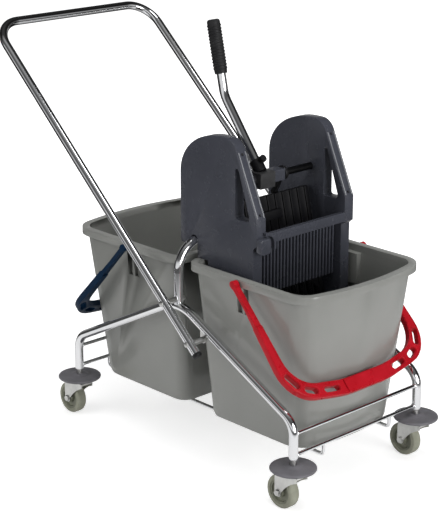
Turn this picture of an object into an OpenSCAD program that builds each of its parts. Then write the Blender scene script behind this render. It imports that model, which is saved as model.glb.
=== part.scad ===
// Double mop bucket trolley: a bent tube frame on four swivel castors carries two tapered
// buckets side by side, a push handle, and a lever wringer that hooks over the frame's arch.
// While it is built, x = 0 is the arch, +X is the front, y = 0 is the middle and z = 0 the floor.

/* [Tubes] */
// Outer diameter of the frame, arch and handle tubes
tube_d = 20; // [18:0.5:20.5]
// Wall of the tubes
tube_wall = 1.5; // [1:0.1:2.5]
// Diameter of the cross rods and the support wires
rod_d = 8; // [6:0.5:9]

/* [Frame] */
// Distance from the arch to the front castors
front_reach = 352; // [310:1:400]
// Distance from the arch to the rear castors
rear_reach = 352; // [310:1:400]
// Height at which the two slopes of a side rail would meet
rail_peak_z = 376; // [340:1:400]
// Rise of a side rail from its posts to its peak
rail_rise = 179; // [165:1:195]
// Bend radius of a side rail at its peak
peak_bend_r = 100; // [70:5:120]
// Bend radius of a side rail above a post
post_bend_r = 48; // [40:1:56]
// Lower end of the posts
post_bottom_z = 118; // [114:0.5:119]
// Height of the arch's level run over the bucket rims
arch_rise = 39; // [35:0.5:46]
// Bend radius of the arch and of the push handle
arch_bend_r = 65; // [50:1:80]
// Drop of the upper cross rods below the rails' shoulders
upper_rod_drop = 23.5; // [20:0.5:32]
// Height of the lower cross rods
lower_rod_z = 125.6; // [125:0.1:130]
// Distance between the two support wires
wire_spacing = 210; // [160:1:230]

/* [Push handle] */
// Distance between the handle's legs at their lower ends
handle_w = 472; // [420:1:520]
// Distance between the handle's legs at the top bar
handle_top_w = 464; // [420:1:520]
// Gap between the side rails' tubes and the handle's legs
leg_gap = 20; // [17:0.5:30]
// Forward reach of the legs' lower ends
handle_foot_x = 100; // [96:1:112]
// Height of the legs over the rails' peaks, where they pass the arch
leg_rise = 3.9; // [3.5:0.1:6]
// Distance of the top bar behind the arch
handle_back = 591; // [575:1:605]
// Height of the top bar
handle_z = 911; // [900:1:925]
// Forward place of the lower handle bolts
lower_bolt_x = 80; // [74:1:84]
// Diameter of the handle bolts
bolt_d = 6; // [5:0.5:7]

/* [Castors] */
// Wheel diameter
wheel_d = 75; // [70:1:76]
// Tread width
wheel_w = 24; // [20:1:26]
// Diameter of the wheel's centre
centre_d = 54; // [46:1:58]
// Distance of the axle behind the swivel
trail = 28; // [24:1:32]
// Diameter of the buffer disc
buffer_d = 100; // [90:1:110]
// Thickness of the buffer disc at its edge
buffer_h = 8; // [7:0.5:10]
// Height of the buffer disc's top
buffer_top_z = 103; // [102:0.5:106]
// Diameter of the castor stem
stem_d = 12; // [10:0.5:13]
// Diameter of the wheel axle
axle_d = 8; // [6:0.5:9]
// Thickness of the fork's steel sheet
fork_t = 2.5; // [2:0.1:3]

/* [Buckets] */
// Height of the rim's top
rim_z = 466; // [460:1:468]
// Distance of a rim's side inside the middle of the rail below it
rim_inset = 6; // [5:0.5:12]
// Distance from the arch to the near end of a rim
rim_near = 14; // [12:0.5:16]
// Overhang of a rim's far end past the castors, at its middle
rim_overhang = 36; // [30:1:42]
// Width of the rim's band
rim_band = 14; // [13:0.5:16]
// Height of the rim's band
rim_h = 16; // [15:0.5:18]
// Radius of the rim's bowed far end
rim_bow_r = 650; // [500:10:1000]
// Taper of a bucket's side, from rim to floor
side_taper = 43; // [38:1:50]
// Distance from the arch to the near end of a floor
floor_near = 38; // [34:1:44]
// Clearance between a bucket's far wall and the upper cross rod
rod_clear = 1.6; // [0.6:0.1:6]
// Wall of the buckets
bucket_wall = 3; // [2:0.1:4]

/* [Bails] */
// Distance of the bail pivots from the rim's far end
pivot_inset = 211; // [200:1:220]
// Drop of the bail pivots below the rim's top
bail_drop = 9; // [8.5:0.1:9.4]
// Diameter of the pegs on the bail's ends
peg_d = 9; // [7:0.5:9.5]
// Distance from the pegs to the inner edge of the grip
bail_reach = 270; // [266:1:276]
// How far the bail's corners stand out past the rim
bail_side = 30; // [26:0.5:33]
// Depth of the bail's band along the grip
bail_band = 33; // [30:1:36]
// Thickness of the bail
bail_t = 14; // [11:0.5:16]

/* [Wringer] */
// Distance between the inner faces of the cheeks
throat_w = 244; // [234:1:250]
// Thickness of a cheek
cheek_t = 27; // [24:1:29]
// Skin of a hollow cheek
cheek_skin = 4; // [3:0.5:5]
// Distance of the cheeks' back edge behind the arch
cheek_back = 43; // [42:1:48]
// Height of the cheeks' top
cheek_top_z = 747; // [741:1:753]
// Forward place of the cheeks' lower front edge
cheek_front = 182; // [179:1:185]
// Lower end of the wringer
wringer_bottom = 332; // [325:1:336]
// Number of slats in the front grate
slat_count = 24; // [18:1:28]
// Width of a slat
slat_w = 4.5; // [3.5:0.5:6]

/* [Jaw] */
// Forward place of the jaw's pivot rod
jaw_pivot_x = 136; // [135:0.5:138]
// Height of the jaw's pivot rod over the wringer's lower end
jaw_pivot_up = 18; // [16:0.5:24]
// Diameter of the jaw's pivot rod
jaw_rod_d = 10; // [8:0.5:12]
// Height of the jaw above its pivot
jaw_h = 250; // [230:1:280]
// Thickness of the jaw
jaw_t = 12; // [10:0.5:12.5]
// Backward lean of the jaw at rest
jaw_lean = 13.5; // [12:0.1:15]

/* [Lever] */
// Length of the push cranks
crank_len = 52; // [46:0.5:58]
// Distance of the lever shaft above the jaw's top
shaft_up = 41.64; // [40:0.02:50]
// Distance of the lever shaft in front of the jaw's middle
shaft_ahead = 18.6; // [16:0.1:22]
// Diameter of the lever shaft
shaft_d = 16; // [12:0.5:17]
// Sideways place of the lever, to the right of the middle
lever_side = 36; // [32:1:40]
// Diameter of the lever tube
lever_d = 20; // [17:0.5:21]
// Height of the lever's bend
lever_bend_z = 803; // [790:1:815]
// Backward place of the lever's bend
lever_bend_back = 24; // [16:1:32]
// Height of the grip's top
lever_top_z = 964; // [950:1:980]
// Backward place of the grip's top
lever_top_back = 60; // [52:1:68]
// Length of the grip
grip_len = 118; // [100:1:122]
// Diameter of the grip
grip_d = 31; // [28:0.5:34]
// Number of ribs round the grip
grip_ribs = 14; // [8:1:16]

/* [Clearances] */
// Radial clearance of a turning fit
run_clear = 0.05; // [0.03:0.01:0.1]
// Clearance between pieces that lift off or pass each other
seat_clear = 0.4; // [0.3:0.05:0.6]
// Radial clearance of a bolt in its hole
bolt_clear = 0.2; // [0.1:0.05:0.4]
// Clearance between the push cranks and the jaw at rest
crank_clear = 1.5; // [1:0.1:3]

/* [Hidden] */
$fn = 64;
eps = 0.01;
big = 2000;

// Colours
chrome = [0.80, 0.81, 0.83];
zinc = [0.70, 0.70, 0.69];
pale_grey = [0.52, 0.53, 0.51];
slate = [0.27, 0.28, 0.31];
black = [0.06, 0.06, 0.07];
red = [0.78, 0.14, 0.18];
blue = [0.07, 0.14, 0.30];
tyre_grey = [0.52, 0.53, 0.46];
buffer_grey = [0.29, 0.28, 0.30];

tube_r = tube_d / 2;
bore_r = tube_r - tube_wall;
rod_r = rod_d / 2;
track = handle_w - 2 * (tube_d + leg_gap);
rail_y = track / 2;
rail_corner_z = rail_peak_z - rail_rise;
upper_rod_z = rail_corner_z - upper_rod_drop;
arch_z = rim_z + arch_rise;
rim_w = track - 2 * rim_inset;

// The origin is moved from the arch to the middle of the finished trolley
origin_x = (handle_back + tube_r - front_reach - buffer_d / 2) / 2;

// Vectors, arcs and rounded corners

function unit(v) = v / norm(v);

function arc(c, r, a0, a1, n) =
    [for (i = [0:n]) c + r * [cos(a0 + (a1 - a0) * i / n), sin(a0 + (a1 - a0) * i / n)]];

function ellipse_arc(c, a, b, a0, a1, n) =
    [for (i = [0:n]) c + [a * cos(a0 + (a1 - a0) * i / n), b * sin(a0 + (a1 - a0) * i / n)]];

function curve(a, b, c, n) =
    [for (i = [0:n]) let (t = i / n) (1 - t) * (1 - t) * a + 2 * t * (1 - t) * b + t * t * c];

function short_turn(a) = a > 180 ? a - 360 : a < -180 ? a + 360 : a;

// Corner b between a and c, rounded to radius r
function corner(a, b, c, r, n) =
    let (
        u = unit(a - b),
        v = unit(c - b),
        half = acos(u * v) / 2,
        mid = b + unit(u + v) * r / sin(half),
        p = b + u * r / tan(half) - mid,
        q = b + v * r / tan(half) - mid,
        start = atan2(p[1], p[0]),
        sweep = short_turn(atan2(q[1], q[0]) - start)
    )
    arc(mid, r, start, start + sweep, n);

// Outline through [x, y, corner radius] points
function rounded(p, n) = [
    for (i = [0:len(p) - 1])
        let (
            a = p[(i + len(p) - 1) % len(p)],
            b = p[i],
            c = p[(i + 1) % len(p)]
        )
        each b[2] == 0
            ? [[b[0], b[1]]]
            : corner([a[0], a[1]], [b[0], b[1]], [c[0], c[1]], b[2], n)
];

function mirrored(p) = [for (i = [len(p) - 1:-1:0]) [p[i][0], -p[i][1], p[i][2]]];

// Bent tubes: paths of points, with a round bend at each inner point

join_lap = 0.2;
join_step = 0.02;

function heading(p, i) = unit(p[i + 1] - p[i]);
function turn(p, i) = acos(heading(p, i - 1) * heading(p, i));
function cut(p, i, r) = i == 0 || i == len(p) - 1 ? 0 : r * tan(turn(p, i) / 2);
function lap(p, i) = i == 0 || i == len(p) - 1 ? 0 : join_lap;
function start_of(p, i, r) = p[i] + (cut(p, i, r) - lap(p, i)) * heading(p, i);
function end_of(p, i, r) = p[i + 1] - (cut(p, i + 1, r) - lap(p, i + 1)) * heading(p, i);

// The same path with its two ends drawn out by e
function longer(p, e) = [
    for (i = [0:len(p) - 1])
        i == 0 ? p[0] - e * heading(p, 0) : i == len(p) - 1 ? p[i] + e * heading(p, i - 1) : p[i]
];

// Axes whose Z runs along d
function facing(d) =
    let (x = unit(cross([0, 1, 0], d)), y = cross(d, x))
    [[x[0], y[0], d[0], 0], [x[1], y[1], d[1], 0], [x[2], y[2], d[2], 0], [0, 0, 0, 1]];

// Round rod from a to b
module rod(a, b, r) {
    d = b - a;
    translate(a)
        rotate([0, acos(d[2] / norm(d)), atan2(d[1], d[0])])
            cylinder(h = norm(d), r = r);
}

// One bend of a path, at its point i
module bend(p, i, bend_r, r) {
    along = heading(p, i - 1);
    normal = unit(cross(along, heading(p, i)));
    inward = cross(normal, along);
    c = p[i] - cut(p, i, bend_r) * along + bend_r * inward;
    multmatrix([
        [-inward[0], along[0], normal[0], c[0]],
        [-inward[1], along[1], normal[1], c[1]],
        [-inward[2], along[2], normal[2], c[2]],
        [0, 0, 0, 1]
    ])
        rotate_extrude(angle = turn(p, i))
            translate([bend_r, 0])
                circle(r = r);
}

// Solid rod along a path; its straight runs are a hair thicker and lap over the bends
module bent_rod(p, bend_r, r) {
    for (i = [0:len(p) - 2])
        rod(start_of(p, i, bend_r), end_of(p, i, bend_r), r + join_step);
    for (i = [1:1:len(p) - 2])
        bend(p, i, bend_r, r);
}

// Cylinder along Y from y0 to y1
module across(x, z, y0, y1, r) {
    translate([x, y1, z])
        rotate([90, 0, 0])
            cylinder(h = y1 - y0, r = r);
}

// Plate in the XZ plane from y0 to y1
module upright(y0, y1) {
    translate([0, y1, 0])
        rotate([90, 0, 0])
            linear_extrude(y1 - y0)
                children();
}

module placed() {
    translate([origin_x, 0, 0])
        children();
}

module both_sides() {
    children();
    mirror([0, 1, 0])
        children();
}

// Frame: side rails, arch, cross rods and support wires

function reach(end) = end > 0 ? front_reach : rear_reach;
function post_x(end) = end * reach(end);
function peak(side) = [0, side * rail_y, rail_peak_z];
function shoulder(end, side) = [post_x(end), side * rail_y, rail_corner_z];
function slope_mid(end, side) = (peak(side) + shoulder(end, side)) / 2;
function peak_path(side) = [slope_mid(-1, side), peak(side), slope_mid(1, side)];

// A side rail is bent tighter over its posts than at its peak, so its slopes meet half way
module rail_core(side, r, e) {
    for (end = [-1, 1])
        bent_rod([
            shoulder(end, side) - [0, 0, rail_corner_z - post_bottom_z + e],
            shoulder(end, side),
            slope_mid(end, side) + join_lap * unit(peak(side) - shoulder(end, side))
        ], post_bend_r, r + join_step);
    bent_rod(peak_path(side), peak_bend_r, r);
}

module side_rail(side) {
    color(chrome)
        placed()
            difference() {
                rail_core(side, tube_r, 0);
                rail_core(side, bore_r, 1);
            }
}

module side_rail_right() {
    side_rail(-1);
}

module side_rail_left() {
    side_rail(1);
}

// Height of a rail's top over the arch's foot
peak_turn = (atan(rail_rise / front_reach) + atan(rail_rise / rear_reach)) / 2;
arch_foot_z = rail_peak_z - peak_bend_r * (1 / cos(peak_turn) - 1) + tube_r / 2;

arch_path = [
    [0, -rail_y, arch_foot_z],
    [0, -rail_y, arch_z],
    [0, rail_y, arch_z],
    [0, rail_y, arch_foot_z]
];

// The arch stands on the peaks of both side rails, its ends cut to their curve
module arch_tube() {
    color(chrome)
        placed()
            difference() {
                bent_rod(arch_path, arch_bend_r, tube_r);
                bent_rod(longer(arch_path, 1), arch_bend_r, bore_r);
                for (side = [-1, 1])
                    bent_rod(peak_path(side), peak_bend_r, tube_r);
                across(upper_bolt_x, leg_z(upper_bolt_x), -big, big, bolt_d / 2 + bolt_clear);
            }
}

// A cross rod stands between two posts, its ends cut to them
module cross_rod(end, z) {
    color(chrome)
        placed()
            difference() {
                across(post_x(end), z, -rail_y, rail_y, rod_r);
                for (side = [-1, 1])
                    rail_core(side, tube_r, 0);
            }
}

module front_upper_rod() {
    cross_rod(1, upper_rod_z);
}

module front_lower_rod() {
    cross_rod(1, lower_rod_z);
}

module rear_upper_rod() {
    cross_rod(-1, upper_rod_z);
}

module rear_lower_rod() {
    cross_rod(-1, lower_rod_z);
}

// A support wire runs under the buckets and turns up at both ends to the lower cross rods
wire_drop = 25;
wire_bend_r = 9;
wire_z = lower_rod_z - wire_drop;
floor_z = wire_z + rod_r + join_step + seat_clear;

module support_wire(side) {
    y = side * wire_spacing / 2;
    color(chrome)
        placed()
            difference() {
                bent_rod([
                    [front_reach, y, lower_rod_z],
                    [front_reach, y, wire_z],
                    [-rear_reach, y, wire_z],
                    [-rear_reach, y, lower_rod_z]
                ], wire_bend_r, rod_r);
                for (end = [-1, 1])
                    across(post_x(end), lower_rod_z, -rail_y, rail_y, rod_r);
            }
}

module support_wire_right() {
    support_wire(-1);
}

module support_wire_left() {
    support_wire(1);
}

// Push handle and its fastening

leg_pass_z = rail_peak_z + leg_rise;
leg_slope = (handle_z - leg_pass_z) / handle_back;
handle_foot_z = leg_pass_z - leg_slope * handle_foot_x;
handle_path = [
    [handle_foot_x, -handle_w / 2, handle_foot_z],
    [-handle_back, -handle_top_w / 2, handle_z],
    [-handle_back, handle_top_w / 2, handle_z],
    [handle_foot_x, handle_w / 2, handle_foot_z]
];
leg_run = handle_foot_x + handle_back;
upper_bolt_x = 0;
bolt_places = [upper_bolt_x, lower_bolt_x];

// Height and sideways place of a leg's centre
function leg_z(x) = leg_pass_z - leg_slope * x;
function leg_y(x) = (handle_w - (handle_w - handle_top_w) * (handle_foot_x - x) / leg_run) / 2;

module push_handle() {
    color(chrome)
        placed()
            difference() {
                bent_rod(handle_path, arch_bend_r, tube_r);
                bent_rod(longer(handle_path, 1), arch_bend_r, bore_r);
                for (x = bolt_places)
                    across(x, leg_z(x), -big, big, bolt_d / 2 + bolt_clear);
            }
}

cap_plug = 14;
cap_head = 8;
cap_round = 4;

// Black plugs in the lower ends of the legs
module handle_end_caps() {
    color(black)
        placed()
            both_sides()
                translate(handle_path[3])
                    multmatrix(facing(heading(handle_path, 2)))
                        rotate_extrude()
                            polygon(concat(
                                [
                                    [0, -cap_plug],
                                    [bore_r - bolt_clear, -cap_plug],
                                    [bore_r - bolt_clear, 0],
                                    [tube_r + 1, 0]
                                ],
                                arc([tube_r + 1 - cap_round, cap_head - cap_round], cap_round, 0, 90, 6),
                                [[0, cap_head]]
                            ));
}

bracket_t = 4;
bracket_w = 17;

function rail_z(x) = rail_peak_z - rail_rise * x / front_reach;

// Plates welded under the side rails for the lower bolts
module handle_brackets() {
    z = leg_z(lower_bolt_x);
    color(zinc)
        placed()
            both_sides()
                difference() {
                    upright(rail_y - bracket_t / 2, rail_y + bracket_t / 2)
                        union() {
                            translate([lower_bolt_x, z])
                                circle(d = bracket_w);
                            translate([lower_bolt_x - bracket_w / 2, z])
                                square([bracket_w, rail_z(lower_bolt_x) - z]);
                        }
                    bent_rod(peak_path(1), peak_bend_r, tube_r);
                    across(lower_bolt_x, z, 0, big, bolt_d / 2 + bolt_clear);
                }
}

spacer_r = 6.5;

// Spacers between the legs and the arch above, and the legs and the brackets below
module handle_spacers() {
    color(zinc)
        placed()
            both_sides()
                difference() {
                    union() {
                        across(upper_bolt_x, leg_z(upper_bolt_x), rail_y, leg_y(upper_bolt_x), spacer_r);
                        across(lower_bolt_x, leg_z(lower_bolt_x), rail_y + bracket_t / 2,
                               leg_y(lower_bolt_x), spacer_r);
                    }
                    for (x = bolt_places)
                        across(x, leg_z(x), 0, big, bolt_d / 2 + bolt_clear);
                    rod(arch_path[3] - [0, 0, tube_d], arch_path[2], tube_r + join_step);
                    bent_rod(peak_path(1), peak_bend_r, tube_r);
                    rod(handle_path[3], handle_path[2], tube_r + join_step);
                }
}

bolt_head_r = 6;
bolt_head_h = 4;
bolt_tip = 2;
nut_h = 5;

function bolt_outer(x) = leg_y(x) + tube_r + join_step;
function bolt_inner(x) = x == upper_bolt_x ? rail_y - tube_r - join_step : rail_y - bracket_t / 2;

// Domed bolts through the legs
module handle_bolts() {
    color(zinc)
        placed()
            both_sides()
                for (x = bolt_places)
                    translate([x, bolt_outer(x), leg_z(x)])
                        rotate([-90, 0, 0])
                            rotate_extrude()
                                polygon(concat(
                                    [
                                        [0, bolt_inner(x) - bolt_outer(x) - nut_h - bolt_tip],
                                        [bolt_d / 2, bolt_inner(x) - bolt_outer(x) - nut_h - bolt_tip],
                                        [bolt_d / 2, 0],
                                        [bolt_head_r, 0]
                                    ],
                                    ellipse_arc([0, 1], bolt_head_r, bolt_head_h - 1, 0, 90, 6)
                                ));
}

module handle_nuts() {
    color(zinc)
        placed()
            both_sides()
                for (x = bolt_places)
                    difference() {
                        translate([x, bolt_inner(x), leg_z(x)])
                            rotate([90, 0, 0])
                                cylinder(h = nut_h, r = bolt_head_r, $fn = 6);
                        across(x, leg_z(x), 0, big, bolt_d / 2 + bolt_clear);
                    }
}

// Buckets: the same moulding twice, with the near ends facing each other over the arch.
// The long sizes of each follow the reach of its own end, 1 in front and -1 behind

wall_top_z = rim_z - rim_h;
near_r = 34;
far_r = 58;
floor_edge = 14;
edge_step = 0.3;
arc_steps = 6;
floor_w = rim_w - 2 * side_taper;

// The far wall passes the upper cross rods with their clearance
rod_share = (upper_rod_z - floor_z - floor_edge) / (wall_top_z - floor_z - floor_edge);

function rim_far(end) = reach(end) + rim_overhang;
function wall_top_x(end) = rim_far(end) - rim_band;
function floor_far(end) =
    (reach(end) - rod_r - rod_clear - rod_share * wall_top_x(end)) / (1 - rod_share);

// Section with a straight near end at x0, a bowed far end at x1 and half width hw
function section(x0, x1, hw, r0, r1, bow) =
    let (
        cx = x1 - bow + sqrt(pow(bow - r1, 2) - pow(hw - r1, 2)),
        a = asin((hw - r1) / (bow - r1))
    )
    concat(
        arc([x0 + r0, -hw + r0], r0, 180, 270, arc_steps),
        arc([cx, -hw + r1], r1, -90, -a, arc_steps),
        arc([x1 - bow, 0], bow, -a, a, 2 * arc_steps),
        arc([cx, hw - r1], r1, a, 90, arc_steps),
        arc([x0 + r0, hw - r0], r0, 90, 180, arc_steps)
    );

// Sections at the rim and at the floor, drawn in by d
function rim_section(end, d) =
    section(rim_near + d, rim_far(end) - d, rim_w / 2 - d, near_r - d, far_r - d, rim_bow_r - d);

function floor_section(end, d) =
    section(floor_near + d, floor_far(end) - d, floor_w / 2 - d, near_r - d, far_r - d, rim_bow_r - d);

module slice(z, points) {
    translate([0, 0, z])
        linear_extrude(eps)
            polygon(points);
}

// Tapered body with a rounded floor edge, its walls drawn in by d
module tapered(end, d) {
    hull() {
        slice(floor_z + d, floor_section(end, d + floor_edge));
        slice(floor_z + d + floor_edge * edge_step, floor_section(end, d + floor_edge * edge_step));
        slice(floor_z + d + floor_edge, floor_section(end, d));
        slice(wall_top_z, rim_section(end, rim_band + d));
    }
}

rim_skin = 3;
pivot_z = rim_z - bail_drop;
boss_half = 12;
peg_l = 10;
pocket_w = 15;
pocket_gap = 6;
pocket_top = 5;
pocket_h = 64;
pocket_in = 14;
pocket_skin = 3;
pivot_block_w = pocket_gap + 2 * pocket_w + 2 * pocket_skin;
pivot_block_y = rim_w / 2 - rim_band - pocket_in - pocket_skin;
pivot_block_z = wall_top_z - pocket_h - pocket_top;

function bail_x(end) = rim_far(end) - pivot_inset;

// Block inside the wall, under the rim, that takes the pockets below a bail pivot
module pivot_block(end) {
    translate([bail_x(end) - pivot_block_w / 2, pivot_block_y, pivot_block_z])
        cube([pivot_block_w, pocket_in + pocket_skin + bucket_wall - 1, pocket_h + pocket_top]);
}

module pivot_pockets(end) {
    for (side = [-1, 1])
        translate([
            bail_x(end) + side * (pocket_gap + pocket_w) / 2 - pocket_w / 2,
            pivot_block_y + pocket_skin,
            pivot_block_z + pocket_skin
        ])
            cube([pocket_w, big, pocket_h - pocket_skin]);
}

// The rim is open underneath, except round the bail pivots
module rim_hollow(end) {
    difference() {
        translate([0, 0, wall_top_z - 1])
            linear_extrude(rim_h - rim_skin + 1)
                difference() {
                    polygon(rim_section(end, rim_skin));
                    polygon(rim_section(end, rim_band - eps));
                }
        translate([bail_x(end) - boss_half, -big / 2, 0])
            cube([2 * boss_half, big, big]);
    }
}

module bucket(end) {
    difference() {
        union() {
            difference() {
                union() {
                    tapered(end, 0);
                    translate([0, 0, wall_top_z])
                        linear_extrude(rim_h)
                            polygon(rim_section(end, 0));
                }
                tapered(end, bucket_wall);
                translate([0, 0, wall_top_z - eps])
                    linear_extrude(rim_h + 1)
                        polygon(rim_section(end, rim_band + bucket_wall));
            }
            both_sides()
                intersection() {
                    pivot_block(end);
                    tapered(end, 1);
                }
        }
        rim_hollow(end);
        both_sides() {
            pivot_pockets(end);
            across(bail_x(end), pivot_z, rim_w / 2 - peg_l - 1, big, peg_d / 2 + run_clear);
        }
    }
}

module front_bucket() {
    color(pale_grey)
        placed()
            bucket(1);
}

module rear_bucket() {
    color(pale_grey)
        placed()
            mirror([1, 0, 0])
                bucket(-1);
}

// Bails: drawn flat with the pegs on the Y axis and the grip towards +X. The arms are thinner
// between the pegs and the step

bail_gap = 2;
bail_inner = rim_w / 2 + bail_gap;
bail_w = rim_w + 2 * bail_side;
arm_w = 13;
arm_outer = bail_inner + arm_w;
arm_r = bail_t / 2 + 1;
bail_foot = bail_reach + bail_band;
flat_half = 66;
foot_slope = 0.168;
arm_start = 60;
arm_thin = 0.7;
arm_step = 104;
arm_bend_r = 150;
outer_bend_r = 80;
inner_bend_r = 68;
run_bend_r = 260;

outer_half = [
    [0, -arm_outer, 0],
    [arm_start, -arm_outer, arm_bend_r],
    [bail_foot - (bail_w / 2 - flat_half) * foot_slope, -bail_w / 2, outer_bend_r],
    [bail_foot, -flat_half, run_bend_r]
];

inner_half = [
    [0, -bail_inner, 0],
    [bail_reach - (bail_inner - flat_half) * foot_slope, -bail_inner, inner_bend_r],
    [bail_reach, -flat_half, run_bend_r]
];

bail_outline = rounded(concat(
    outer_half,
    mirrored(outer_half),
    [for (i = [0:2]) [inner_half[i][0], -inner_half[i][1], inner_half[i][2]]],
    [for (i = [2:-1:0]) inner_half[i]]
), 8);

slot_w = 15;
long_slot = 42;
short_slot = 34;

// Slots on the left half of the band, placed by shares of its depth and half width:
// distance from the pegs, sideways place, turn, length, width
bail_slots = [
    [bail_foot - 0.67 * bail_band, 0.473 * bail_w / 2, 99, long_slot, slot_w - 2],
    [bail_foot - 1.03 * bail_band, 0.718 * bail_w / 2, 116, short_slot, slot_w],
    [bail_foot - 1.97 * bail_band, 0.882 * bail_w / 2, 152, long_slot, slot_w]
];

module bail_slot(s) {
    translate([s[0], s[1], -big / 2])
        rotate(s[2])
            linear_extrude(big)
                union() {
                    square([s[3] - s[4], s[4]], center = true);
                    for (e = [-1, 1])
                        translate([e * (s[3] - s[4]) / 2, 0])
                            circle(d = s[4]);
                }
}

grip_proud = 3;
grip_half = 66;
grip_edge = 2;

module bail() {
    difference() {
        union() {
            translate([0, 0, -bail_t / 2])
                linear_extrude(bail_t)
                    polygon(bail_outline);
            translate([bail_reach + grip_edge, -grip_half, -bail_t / 2])
                cube([bail_band - 2 * grip_edge, 2 * grip_half, bail_t + grip_proud]);
            both_sides()
                across(0, 0, bail_inner, arm_outer, arm_r);
        }
        both_sides()
            for (s = bail_slots)
                bail_slot(s);
        for (face = [-1, 1])
            translate([
                arm_r,
                -big / 2,
                face > 0 ? arm_thin * bail_t / 2 : -arm_thin * bail_t / 2 - big
            ])
                cube([arm_step - arm_r, big, big]);
    }
    both_sides()
        across(0, 0, bail_inner - peg_l, bail_inner + 1, peg_d / 2);
}

// At rest a bail leans on the bowed end of its bucket
bail_rest_gap = 0.8;

function wall_slope(end) = (wall_top_x(end) - floor_far(end)) / (wall_top_z - floor_z - floor_edge);
function wall_x(end, z) = floor_far(end) + wall_slope(end) * (z - floor_z - floor_edge);
function bail_lower_z(a) = pivot_z - bail_reach * sin(a) - bail_t / 2 * cos(a);
function bail_settle(end, a) =
    acos((wall_x(end, bail_lower_z(a)) + bail_rest_gap - bail_x(end) + bail_t / 2 * sin(a)) / bail_reach);
function bail_slope(end) = bail_settle(end, bail_settle(end, bail_settle(end, 45)));

module hung_bail(end) {
    translate([bail_x(end), 0, pivot_z])
        rotate([0, bail_slope(end), 0])
            bail();
}

module front_bail() {
    color(red)
        placed()
            hung_bail(1);
}

module rear_bail() {
    color(blue)
        placed()
            mirror([1, 0, 0])
                hung_bail(-1);
}

// Wringer: two hollow cheeks, a crossbar, a front grate and a back

cheek_in = throat_w / 2;
cheek_out = cheek_in + cheek_t;
hook_r = tube_r + join_step + seat_clear;
hook_lip_z = arch_z - 13;
lip_back = 40;
back_z = arch_z - 5;
crown_drop = 95;
crown_z = cheek_top_z - crown_drop;
crown_x = 78;
nose_r = 38;
nose_x = 96;
brow_end = 24;
brow_z = 586;
bar_front = cheek_front + 10;
bar_top_z = 552;
bar_bottom_z = 531;
step_z = bar_bottom_z - 8;
cheek_rear = 42;
foot_rear = 60;
rest_z = rim_z + seat_clear;

// Outline of a cheek in X and Z, drawn in by d
function cheek_outline(d) = concat(
    [[-hook_r - d, hook_lip_z + d], [-lip_back, hook_lip_z + d], [-cheek_back + d, back_z + d]],
    ellipse_arc([crown_x, crown_z], crown_x + cheek_back - d, crown_drop - d, 180, 90, 16),
    arc([nose_x, cheek_top_z - nose_r], nose_r - d, 90, brow_end, 8),
    [
        [bar_front - d, brow_z],
        [bar_front - d, bar_bottom_z + d],
        [cheek_front - d, step_z],
        [cheek_front - d, wringer_bottom - d],
        [foot_rear + d, wringer_bottom - d],
        [cheek_rear + d, rest_z + d],
        [hook_r + d, rest_z + d]
    ],
    arc([0, arch_z], hook_r + d, 0, 180, 16)
);

slot_x = 127;
slot_top_x = 136;
slot_foot_x = 173;
slot_z = 578;
slot_drop = 60;
slot_top_z = cheek_top_z - slot_drop;

// Finger slot near the front edge, wider at its foot and drawn out by d
function finger_slot(d) = rounded([
    [slot_x - d, slot_z - d, 6],
    [slot_foot_x + d, slot_z - d, 9],
    [slot_top_x + d, slot_top_z + d, 4],
    [slot_x - d, slot_top_z + d, 4]
], 6);

// The lever shaft is placed from the leaning jaw below it
jaw_pivot_z = wringer_bottom + jaw_pivot_up;
shaft_along = jaw_h + shaft_up;
shaft_x = jaw_pivot_x - shaft_along * sin(jaw_lean) + shaft_ahead * cos(jaw_lean);
shaft_z = jaw_pivot_z + shaft_along * cos(jaw_lean) + shaft_ahead * sin(jaw_lean);
shaft_r = shaft_d / 2;
jaw_rod_r = jaw_rod_d / 2;
seat_depth = cheek_t / 2;
boss_skin = 5;

module cheek() {
    difference() {
        upright(cheek_in, cheek_out)
            polygon(cheek_outline(0));
        upright(cheek_in + cheek_skin, cheek_out - cheek_skin)
            difference() {
                polygon(cheek_outline(cheek_skin));
                polygon(finger_slot(cheek_skin));
                translate([shaft_x, shaft_z])
                    circle(r = shaft_r + boss_skin);
                translate([jaw_pivot_x, jaw_pivot_z])
                    circle(r = jaw_rod_r + boss_skin);
            }
        upright(cheek_in - 1, cheek_out + 1)
            polygon(finger_slot(0));
        across(shaft_x, shaft_z, 0, cheek_in + seat_depth, shaft_r + run_clear);
        across(jaw_pivot_x, jaw_pivot_z, 0, cheek_in + seat_depth, jaw_rod_r + run_clear);
    }
}

module cheek_right() {
    color(slate)
        placed()
            mirror([0, 1, 0])
                cheek();
}

module cheek_left() {
    color(slate)
        placed()
            cheek();
}

catch_y = -cheek_in - 4;
catch_z = 531;
housing_r = 27;
housing_wall = 6;
housing_t = 9;
housing_leg = 12;
housing_cut = 4;
block_side = 10;

// Curved housing at the right end of the crossbar, in Y and Z, open towards the cheek's outside
module housing_outline() {
    difference() {
        union() {
            circle(r = housing_r);
            translate([-housing_r, -housing_leg])
                square([2 * housing_r, housing_leg]);
        }
        circle(r = housing_r - housing_wall);
        translate([-big - housing_cut, -big / 2])
            square([big, big]);
        translate([-big / 2, -housing_leg - big])
            square([big, big]);
        translate([-housing_r + housing_wall, -housing_leg - 1])
            square([2 * (housing_r - housing_wall), housing_leg + 1]);
    }
}

module wringer_crossbar() {
    color(slate)
        placed()
            union() {
                translate([cheek_front, -cheek_in, bar_bottom_z])
                    cube([bar_front - cheek_front, throat_w, bar_top_z - bar_bottom_z]);
                translate([bar_front - eps, catch_y, catch_z])
                    rotate([90, 0, 90])
                        linear_extrude(housing_t)
                            housing_outline();
            }
}

block_w = 28;
block_h = 34;
block_t = 16;
block_round = 6;

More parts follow.
